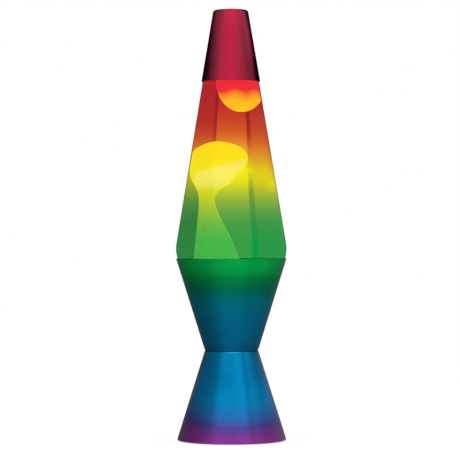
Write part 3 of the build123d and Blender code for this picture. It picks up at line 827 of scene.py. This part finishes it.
class LAMP_OT_stage(Operator):
    """Adds the camera, a pale floor, soft lamps and the surroundings that only gloss shows"""

    bl_idname = "lamp.stage"
    bl_label = "Stage"

    # Places in metres: the camera's, what it looks at, and what the soft lamps look at
    CAMERA = (0, -1.96, 0.1735)
    CAMERA_TARGET = (-0.00105, 0, 0.1803)
    CAMERA_ROLL = radians(-0.15)
    CAMERA_LENS = 179.4
    LAMP_TARGET = (0, 0, 0.18)
    # Place, width and power of the soft lamps
    LAMPS = (((-0.9, -1.3, 1.2), 0.9, 6.0), ((1.3, -0.7, 0.9), 0.7, 2.5))

    def execute(self, context):
        scene = context.scene
        scene.view_settings.view_transform = "Standard"
        self.add_camera(scene)
        self.light_world(scene)
        for place, width, power in self.LAMPS:
            turn = self.facing(place, self.LAMP_TARGET)
            bpy.ops.object.light_add(type="AREA", location=place, rotation=turn)
            lamp = context.object
            lamp.data.size = width
            lamp.data.energy = power
            lamp.visible_glossy = False
        self.add_floor()
        self.add_surroundings()
        return {"FINISHED"}

    @staticmethod
    def facing(place, target):
        """Turn of what stands at a place and looks at a target."""
        return (Vector(target) - Vector(place)).to_track_quat("-Z", "Y").to_euler()

    def add_camera(self, scene):
        turn = self.facing(self.CAMERA, self.CAMERA_TARGET)
        bpy.ops.object.camera_add(location=self.CAMERA, rotation=turn)
        scene.camera = bpy.context.object
        scene.camera.rotation_euler.rotate_axis("Z", self.CAMERA_ROLL)
        scene.camera.data.lens = self.CAMERA_LENS
        scene.camera.data.sensor_width = 36

    @staticmethod
    def shown(nodes):
        """1 where the camera, gloss or glass looks, and 0 where light is gathered."""
        camera = nodes.add("ShaderNodeLightPath", output="Is Camera Ray")
        return camera.larger(camera.beside("Is Glossy Ray")).larger(camera.beside("Is Transmission Ray"))

    def light_world(self, scene):
        nodes = Nodes(scene.world or bpy.data.worlds.new("studio"))
        scene.world = nodes.owner
        lit = nodes.add("ShaderNodeBackground", None, {"Color": (1, 1, 1, 1), "Strength": 0.75})
        seen = nodes.add("ShaderNodeBackground", None, {"Color": (1, 1, 1, 1), "Strength": 1.0})
        shader = nodes.add("ShaderNodeMixShader", None, {0: self.shown(nodes), 1: lit, 2: seen})
        nodes.end(shader, "ShaderNodeOutputWorld")

    def add_floor(self):
        floor = added("floor", "circle", vertices=96, radius=4, fill_type="NGON")
        nodes = new_finish("pale_floor")
        mottle = nodes.noise(nodes.place(), 0.02, detail=3.0)
        plain = nodes.mix(mottle, (0.84, 0.84, 0.84), (0.88, 0.88, 0.88))
        matt = nodes.add("ShaderNodeBsdfDiffuse", None, {"Color": plain})
        white = nodes.add("ShaderNodeEmission", None, {"Color": (1, 1, 1, 1), "Strength": 1.12})
        shader = nodes.add("ShaderNodeMixShader", None, {0: self.shown(nodes) * 0.75, 1: matt, 2: white})
        floor.data.materials.append(nodes.end(shader))
        floor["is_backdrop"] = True

    # Brightness of the surroundings by their angle to the right of the front: over the floor, which
    # the upper cone mirrors, under the border and over it. In front the cap mirrors what lies under
    # the border and the lower cone what lies over it, and behind it is the other way round
    LOW = (
        (-170, 0.1), (-150, 0.18), (-121, 0.33), (-101, 0.41), (-75, 0.51), (-52, 0.62),
        (-31, 0.88), (-12, 1.0), (27, 1.0), (37, 0.86), (69, 0.8), (95, 0.66), (129, 0.46),
        (150, 0.26), (170, 0.1),
    )
    MIDDLE = (
        (-170, 0.1), (-150, 0.19), (-130, 0.25), (-110, 0.3), (-95, 0.34), (-87, 0.45),
        (-73, 0.55), (-62, 0.67), (-53, 0.78), (-42, 0.87), (-30, 0.93), (-10, 1.0), (10, 1.0),
        (25, 0.94), (40, 0.86), (57, 0.74), (68, 0.62), (77, 0.58), (85, 0.68), (95, 0.84),
        (108, 0.82), (124, 0.7), (138, 0.52), (155, 0.36), (170, 0.15),
    )
    HIGH = (
        (-148, 0.0), (-139, 0.12), (-128, 0.25), (-113, 0.33), (-95, 0.4), (-87, 0.35),
        (-70, 0.42), (-55, 0.47), (-47, 0.75), (-38, 1.0), (-28, 1.05), (6, 1.04), (13, 1.2),
        (39, 1.32), (45, 0.78), (51, 0.7), (60, 0.96), (70, 1.02), (80, 0.9), (88, 0.66),
        (96, 0.4), (104, 0.27), (122, 0.15), (136, 0.06), (146, 0.0),
    )
    BRIGHTEST = 1.4
    # Height of the border in front and half the width of its blur, in millimetres
    BORDER = 4300
    BORDER_BLUR = 150

    def add_surroundings(self):
        """A wide round room that only gloss shows, open to the white sky."""
        room = added("surroundings", "circle", vertices=96, radius=8, fill_type="NGON")
        edit_mode()
        bpy.ops.transform.translate(value=(0, 0, 0.0003))
        bpy.ops.mesh.extrude_edges_move(TRANSFORM_OT_translate={"value": (0, 0, 14)})
        object_mode()
        nodes = new_finish("surroundings")
        x, y, z = nodes.split(nodes.place())
        turn = x.math("ARCTAN2", x, 0 - y) / (2 * pi) + 0.5
        low, middle, high = (
            self.around(nodes, turn, stops) for stops in (self.LOW, self.MIDDLE, self.HIGH)
        )
        border = z - turn.math("COSINE", (turn - 0.5) * pi) * self.BORDER
        over = border.smooth(-self.BORDER_BLUR, self.BORDER_BLUR)
        level = nodes.mix(over, nodes.mix(z.smooth(1, 2), low, middle), high)
        lit = nodes.add("ShaderNodeEmission", None, {0: level, 1: self.BRIGHTEST})
        room.data.materials.append(nodes.end(lit))
        for way in ("camera", "diffuse", "transmission", "volume_scatter", "shadow"):
            setattr(room, "visible_" + way, False)
        room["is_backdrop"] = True

    def around(self, nodes, turn, stops):
        stops = [(angle / 360 + 0.5, [value / self.BRIGHTEST] * 3) for angle, value in stops]
        return nodes.add("ShaderNodeValToRGB", {"stops": stops}, {0: turn})


class LAMP_OT_lower_cone(Operator):
    """Adds the lower cone, spun from one sheet and hemmed in at the foot, with its hole for the bush"""

    bl_idname = "lamp.lower_cone"
    bl_label = "Lower cone"

    def execute(self, context):
        s, c = sizes(), colours()
        line = points_of(
            (s.foot_radius - s.hem_width, s.hem_level),
            (s.foot_radius, s.hem_level, s.cone_rounding),
            (s.waist_radius, s.waist_level, s.cone_rounding),
            (s.hole_radius, s.waist_level),
        )
        cone = turned("lower_cone", walled(line, s.cone_wall))
        lean = atan((s.foot_radius - s.waist_radius) / (s.waist_level - s.hem_level))
        side = s.foot_radius - tan(lean) * (s.bush_level - s.hem_level)
        drill = added(
            "drill", "cylinder", vertices=48, radius=s.bush_radius, depth=8 * MM,
            location=(0, side, s.bush_level), rotation=(lean - pi / 2, 0, 0),
        )
        cut(cone, drill)
        soften(cone, 0.2 * MM)
        # A painted highlight: a bright blue band at the top of the lower cone, by the waist
        painted_glint = linear(14, 168, 226)
        bands = [
            (0.8, c.foot), (4.0, c.foot), (9.0, linear(113, 61, 149)), (14.0, linear(80, 71, 153)),
            (22.0, linear(41, 109, 179)), (34.0, c.base), (44.0, c.base),
            (58.0, linear(7, 122, 175)), (75.9, c.base_waist), (76.3, painted_glint), (77.4, painted_glint),
        ]
        lacquer = spun_lacquer("lacquer_blue_to_purple", bands, (0.8, 0.85, 0.95), rise=10.0)
        line_inside(cone, 40 * MM)
        return settle(cone, "base", "base_cone", "base_lacquer", lacquer, bare_sheet())


class LAMP_OT_upper_cone(Operator):
    """Adds the upper cone, wide end up, that the globe nests in"""

    bl_idname = "lamp.upper_cone"
    bl_label = "Upper cone"

    def execute(self, context):
        s, c = sizes(), colours()
        line = points_of(
            (s.hole_radius, s.waist_level),
            (s.cup_radius, s.waist_level, s.cup_rounding),
            (s.rim_radius, s.rim_level),
        )
        cone = turned("upper_cone", walled(line, s.cone_wall))
        soften(cone, 0.25 * MM)
        # A painted highlight: a bright band at the foot of the upper cone, by the waist
        painted_glint = linear(12, 125, 170)
        bands = [
            (77.4, painted_glint), (78.1, painted_glint), (78.6, linear(6, 82, 117)), (84.0, c.cup_waist),
            (98.0, linear(5, 94, 132)), (118.0, c.cup), (128.7, linear(2, 103, 87)),
            (138.5, linear(5, 123, 58)), (146.0, linear(5, 154, 70)), (150.0, c.rim), (155.9, c.rim),
        ]
        lacquer = spun_lacquer("lacquer_green_to_blue", bands, (0.6, 0.85, 0.85))
        line_inside(cone, 110 * MM)
        return settle(cone, "base", "cup_cone", "cup_lacquer", lacquer, bare_sheet())


class LAMP_OT_cap(Operator):
    """Adds the cap that hides the globe's neck"""

    bl_idname = "lamp.cap"
    bl_label = "Cap"

    def execute(self, context):
        s, c = sizes(), colours()
        line = points_of(
            (s.cap_edge_radius, s.cap_edge_level),
            (s.cap_top_radius, s.cap_top_level, s.cap_rounding),
            (0, s.cap_top_level),
        )
        cap = turned("cap", walled(line, s.cap_wall))
        soften(cap, 0.2 * MM)
        # Painted light: a brighter red at the lower edge and over the top of the cap
        bright = linear(198, 39, 74)
        bands = [(307.2, bright), (325.0, c.cap), (345.0, c.cap), (357.0, bright), (368.3, bright)]
        line_inside(cap, 340 * MM)
        # The cap's lacquer gets a painted sheen and painted shade towards its sides
        lacquer = spun_lacquer("lacquer_magenta", bands, (0.15, 0.15, 0.2), haze_and_sheen=0.4, painted_side_shade=1.05)
        return settle(cap, "cap", "top_cap", "cap_lacquer", lacquer, bare_sheet())


class LAMP_OT_globe(Operator):
    """Adds the tinted glass globe, with a thick base and a beaded neck"""

    bl_idname = "lamp.globe"
    bl_label = "Globe"

    def execute(self, context):
        s = sizes()
        outside = globe_line()
        bead_level = s.lip_level - s.lip_height
        bead = points_of(
            (s.neck_radius, bead_level),
            (s.lip_radius, bead_level, 0.3 * MM),
            (s.lip_radius, s.lip_level, 0.8 * MM),
            (s.neck_radius - s.glass_wall, s.lip_level),
        )
        punt = [
            Vector((s.punt_radius * share, s.globe_level + s.punt_depth * (1 - share ** 2)))
            for share in (step / 11 for step in range(12))
        ]
        line = punt + outside[1:-1] + bead + room_line(0)[::-1][1:]
        globe = turned("globe", line)
        line_inside(globe, 200 * MM)
        finishes = globe_glass_finish("tinted_glass"), inner_glass_finish("inside_of_glass")
        return settle(globe, "globe", "globe_glass", "painted_glass", *finishes)


class LAMP_OT_liquid(Operator):
    """Adds the liquid that fills the globe up to the air under its neck"""

    bl_idname = "lamp.liquid"
    bl_label = "Liquid"

    def execute(self, context):
        s = sizes()
        line = between(room_line(s.glass_gap)[1:], 0, s.liquid_level)
        line = [Vector((0, line[0].y)), *line, Vector((0, line[-1].y))]
        return settle(turned("liquid_body", line), "globe", "liquid", "liquid", liquid_finish())


class LAMP_OT_pool_wax(Operator):
    """Adds the wax that lies in the globe and rises in a column that swells into a dome"""

    bl_idname = "lamp.pool_wax"
    bl_label = "Rising wax"

    # Height, left edge and right edge of the wax above its pool, in millimetres
    EDGES = (
        (136.8, -32.8, 26.8), (140.3, -30.3, 19.9), (146.2, -31.3, 12.4), (156.0, -32.0, 6.8),
        (164.6, -31.0, 3.4), (173.2, -30.1, 0.2), (179.5, -29.5, -3.2), (185.5, -28.9, -6.4),
        (191.0, -28.3, -9.1), (196.1, -27.8, -11.3), (201.4, -27.4, -13.5), (206.0, -27.2, -14.0),
        (209.9, -27.6, -13.2), (213.3, -28.4, -11.1), (217.3, -30.2, -6.0), (221.3, -32.6, 1.6),
        (225.8, -34.7, 7.2), (230.2, -35.1, 10.4), (235.2, -34.6, 12.7), (240.7, -33.7, 14.6),
        (245.1, -33.0, 14.0), (248.6, -32.0, 11.4), (251.7, -27.1, 7.5), (254.1, -21.5, 1.5),
        (255.6, -17.1, -4.6), (256.2, -13.5, -9.5),
    )

    def execute(self, context):
        s = sizes()
        wall = room_line(2 * s.glass_gap)
        floor = wall[0].y
        levels = [floor + rise * MM for rise in (0.3, 0.8, 3, 6, 9)]
        rings = [(0, level, radius_at(wall, level)) for level in levels]
        rings[0] = (0, floor, rings[0][2] - 0.4 * MM)
        shore = radius_at(wall, s.pool_level)
        rings += [
            (0, s.pool_level - 0.3 * MM, shore - 0.1 * MM),
            (0, s.pool_level - 0.4 * MM, shore - 1.2 * MM),
        ]
        rings += [((a + b) / 2 * MM, z * MM, (b - a) / 2 * MM) for z, a, b in self.EDGES]
        wax = stacked("rising_wax", rings)
        modify(wax, "SUBSURF", levels=2, render_levels=2)
        return settle(wax, "globe", "wax_lower", "wax", wax_material(), sharp=80)


class LAMP_OT_risen_wax(Operator):
    """Adds the wax that has risen to the cap and leans on the glass"""

    bl_idname = "lamp.risen_wax"
    bl_label = "Risen wax"

    def execute(self, context):
        s = sizes()
        blob = added("risen_wax", "ico_sphere", subdivisions=6, radius=s.blob_radius)
        edit_mode()
        bpy.ops.transform.resize(value=(1, 1, s.blob_rise / s.blob_radius))
        bpy.ops.transform.translate(value=(s.blob_offset, 0, s.blob_level))
        object_mode()
        wall = between(room_line(2 * s.glass_gap)[1:], 0, s.blob_top_level)
        room = turned("room", [Vector((0, wall[0].y)), *wall, Vector((0, wall[-1].y))])
        cut(blob, room, "INTERSECT")
        modify(blob, "REMESH", mode="VOXEL", voxel_size=0.6 * MM)
        modify(blob, "SMOOTH", factor=0.5, iterations=8)
        return settle(blob, "wax_float", "wax_upper", "wax", wax_material(), sharp=80)


def wax_material():
    return bpy.data.materials.get("lit_wax") or wax_finish()


class LAMP_OT_coil(Operator):
    """Adds the coil of spring wire that lies in the wax as a ring"""

    bl_idname = "lamp.coil"
    bl_label = "Coil"

    TURNS = 90

    def execute(self, context):
        s = sizes()
        pitch = 2 * s.coil_ring_radius * tan(pi / self.TURNS)
        coil = added("coil", "circle", vertices=8, radius=s.wire_radius, rotation=(0, pi / 2, 0))
        bpy.ops.object.transform_apply()
        edit_mode()
        bpy.ops.transform.translate(value=(0, -pitch / 2, s.coil_radius - s.wire_radius))
        object_mode()
        modify(coil, "SCREW", axis="Y", screw_offset=pitch, steps=14, render_steps=14)
        edit_mode()
        bpy.ops.mesh.select_all(action="SELECT")
        bpy.ops.transform.translate(value=(s.coil_ring_radius, 0, s.coil_level))
        spin(self.TURNS, dupli=True)
        merge_doubles()
        finish = bare_metal("spring_wire", colours().steel, 0.25, tarnish=0.2)
        return settle(coil, "globe", "coil_ring", "coil_steel", finish, sharp=80)


class LAMP_OT_closure(Operator):
    """Adds the crimped closure on the globe's neck"""

    bl_idname = "lamp.closure"
    bl_label = "Closure"

    FLUTES = 21
    # How far a crimp is pressed in at its middle, as a share of the radius
    CRIMP = 0.046

    def execute(self, context):
        s = sizes()
        hem = s.closure_top_level - s.closure_skirt
        crimp_top = hem + 1 * MM
        line = points_of(
            (s.closure_radius, hem),
            (s.closure_radius - s.closure_flare, s.closure_top_level, 1.2 * MM),
            (0, s.closure_top_level),
        )
        closure = turned("closure", walled(line, s.closure_wall), segments=8 * self.FLUTES)
        for away in range(4):
            size = 1 - self.CRIMP * (1 + cos(pi * away / 4)) / 2
            select_points(closure, lambda at: at.z < crimp_top and self.from_crimp(at) == away)
            bpy.ops.transform.resize(value=(size, size, 1), center_override=(0, 0, hem))
            object_mode()
        finish = bare_metal("closure_lacquer", colours().closure, 0.24, tarnish=0.15)
        return settle(closure, "globe", "bottle_closure", "closure_metal", finish)

    def from_crimp(self, point):
        """Steps from a point to the middle of the nearest crimp, out of 4."""
        step = round(atan2(point.y, point.x) / (2 * pi) * 8 * self.FLUTES) % 8
        return min(step, 8 - step)


class LAMP_OT_bulb(Operator):
    """Adds the glass of the bulb and its threaded screw base"""

    bl_idname = "lamp.bulb"
    bl_label = "Bulb"

    def execute(self, context):
        s = sizes()
        ball = Vector((0, s.bulb_top_level - s.bulb_radius))
        reach = s.bulb_radius + s.bulb_flare_radius
        across = s.bulb_neck_radius + s.bulb_flare_radius
        tilt = acos(across / reach)
        flare = Vector((across, ball.y - reach * sin(tilt)))
        line = [Vector((s.bulb_neck_radius, s.screw_level + s.screw_height - 3 * MM))]
        line += arc(flare, s.bulb_flare_radius, pi, pi - tilt)
        line += arc(ball, s.bulb_radius, -tilt, pi / 2, steps=28)[1:]
        glass = turned("bulb_glass", walled(line, s.bulb_wall), segments=64)
        settle(glass, "bulb", "bulb_envelope", "bulb_glass", clear_glass("bulb_glass"))
        metal = bare_metal("tinned_brass", colours().tin, 0.25, tarnish=0.3)
        return settle(self.screw_base(s), "bulb", "bulb_screw_base", "bulb_metal", metal)

    @staticmethod
    def screw_base(s):
        """A hollow shell with a rolled thread between a rounded foot and a smooth collar."""
        low, high, crest = s.screw_level, s.screw_level + s.screw_height, s.screw_radius
        half_depth, clearance, past = 0.35 * MM, 0.05 * MM, 1 * MM
        core, foot_bore, thread_bore, collar_bore = 7.2 * MM, 5.9 * MM, 6.9 * MM, 7.9 * MM
        wave = []
        for step in range(9):
            radius = crest - clearance - half_depth * (1 + cos(pi * step / 4))
            wave.append(Vector((radius, low + s.screw_pitch * (step / 8 - 0.4))))
        base = drawn("screw_base", wave)
        object_mode()
        modify(base, "SCREW", screw_offset=s.screw_pitch, iterations=6, steps=48, render_steps=48)
        for level, way in ((low + 1.8 * MM, -1), (high - 3.4 * MM, 1)):
            edit_mode()
            merge_doubles()
            edit_mode()
            plane = {"plane_co": (0, 0, level), "plane_no": (0, 0, way)}
            bpy.ops.mesh.bisect(use_fill=True, clear_outer=True, **plane)
            merge_doubles()
        spool = points_of(
            (0, low),
            (crest, low, 1.2 * MM),
            (crest, low + 2.2 * MM, 0.3 * MM),
            (core, low + 2.5 * MM),
            (core, high - 4.1 * MM),
            (crest, high - 3.8 * MM, 0.3 * MM),
            (crest, high),
            (0, high),
        )
        cut(base, turned("spool", spool, segments=96), "UNION")
        bore = points_of(
            (0, low - past),
            (foot_bore, low - past),
            (foot_bore, low + 0.4 * MM),
            (thread_bore, low + 1.6 * MM),
            (thread_bore, high - 3.8 * MM),
            (collar_bore, high - 3.2 * MM),
            (collar_bore, high + past),
            (0, high + past),
        )
        return cut(base, turned("bore", bore, segments=96))


class LAMP_OT_finishes(Operator):
    """Gives the pieces that keep their CAD shape their finishes"""

    bl_idname = "lamp.finishes"
    bl_label = "Finishes of the small pieces"

    def execute(self, context):
        c = colours()
        brass = bare_metal("brass", c.brass, 0.28)
        steel = bare_metal("plated_steel", c.steel, 0.3, tarnish=0.25)
        rubber = moulded("rubber", c.rubber, 0.75, scale=3.0, depth=0.05)
        phenolic = moulded("phenolic", c.phenolic, 0.3, speckle=0.6)
        dress(moulded("moulded_plastic", c.plastic, 0.45), "bottom_plate", "lampholder_cover")
        dress(rubber, "foot_pads", "cord_grommet")
        dress(phenolic, "lampholder_body", "ring_nut")
        dress(brass, "lampholder_sleeve", "lampholder_contact", "terminal_plates")
        dress(brass, "lampholder_rivets")
        dress(steel, "terminal_screws", "clamp_washer", "bulb_lead_wires")
        dress(moulded("black_bead", [0.01, 0.01, 0.012], 0.1, speckle=0.1), "bulb_insulator")
        dress(bare_metal("solder", linear(168, 168, 165), 0.4), "bulb_tip_contact")
        dress(clear_glass("stem_glass"), "bulb_stem")
        dress(bare_metal("tungsten", linear(120, 118, 116), 0.35), "bulb_filament")
        dress(moulded("closure_liner", linear(214, 212, 205), 0.5, speckle=0.1), "closure_liner")
        return {"FINISHED"}


class LAMP_PT_panel(Panel):
    """Lists the lamp's pieces, sizes and colours"""

    bl_idname = "LAMP_PT_panel"
    bl_label = "Liquid Motion Lamp"
    bl_space_type = "VIEW_3D"
    bl_region_type = "UI"
    bl_category = "Lamp"

    def draw(self, context):
        for piece in OPERATORS:
            self.layout.operator(piece.bl_idname)
        for group in (context.scene.lamp_sizes, context.scene.lamp_colours):
            box = self.layout.box()
            for key in group.bl_rna.properties.keys():
                if key not in ("rna_type", "name"):
                    box.prop(group, key)


OPERATORS = (
    LAMP_OT_stage,
    LAMP_OT_lower_cone,
    LAMP_OT_upper_cone,
    LAMP_OT_cap,
    LAMP_OT_globe,
    LAMP_OT_liquid,
    LAMP_OT_pool_wax,
    LAMP_OT_risen_wax,
    LAMP_OT_coil,
    LAMP_OT_closure,
    LAMP_OT_bulb,
    LAMP_OT_finishes,
)
CLASSES = (LampSizes, LampColours, *OPERATORS, LAMP_PT_panel)


def register():
    for kind in CLASSES:
        bpy.utils.register_class(kind)
    bpy.types.Scene.lamp_sizes = PointerProperty(type=LampSizes)
    bpy.types.Scene.lamp_colours = PointerProperty(type=LampColours)


def unregister():
    del bpy.types.Scene.lamp_colours
    del bpy.types.Scene.lamp_sizes
    for kind in reversed(CLASSES):
        bpy.utils.unregister_class(kind)


def main():
    register()
    for piece in OPERATORS:
        group, name = piece.bl_idname.split(".")
        getattr(getattr(bpy.ops, group), name)()
    boxes = {"cad": CAD_BOX, "visual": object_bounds()}
    boxes = {key: [list(corner) for corner in box] for key, box in boxes.items()}


if __name__ == "__main__":
    main()
